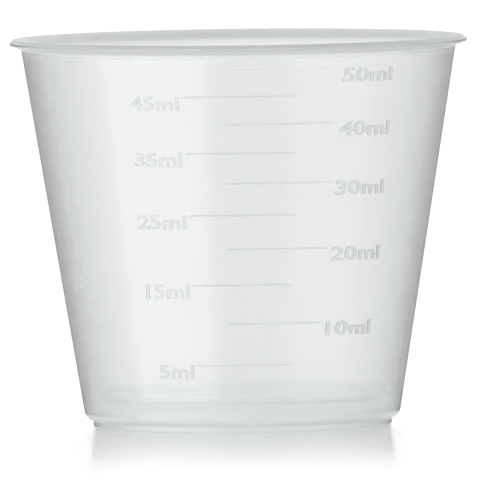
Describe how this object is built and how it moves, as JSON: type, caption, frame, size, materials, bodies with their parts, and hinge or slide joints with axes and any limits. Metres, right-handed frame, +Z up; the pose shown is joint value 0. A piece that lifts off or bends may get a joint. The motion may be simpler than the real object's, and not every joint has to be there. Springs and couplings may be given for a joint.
{
  "type": "medicine cup",
  "caption": "Small tapered graduated cup in translucent plastic, with a flared lip, raised millilitre marks and a short foot ring.",
  "frame": {"origin": "centre of the circle that the foot ring rests on", "axes": "+Z up along the cup's axis, with the graduations facing -Y"},
  "size_m": [0.0513, 0.0512, 0.0436],
  "materials": {
    "polypropylene": "injection moulded, translucent, satin gloss"
  },
  "bodies": {
    "root": {"cup": "polypropylene"}
  },
  "joints": []
}
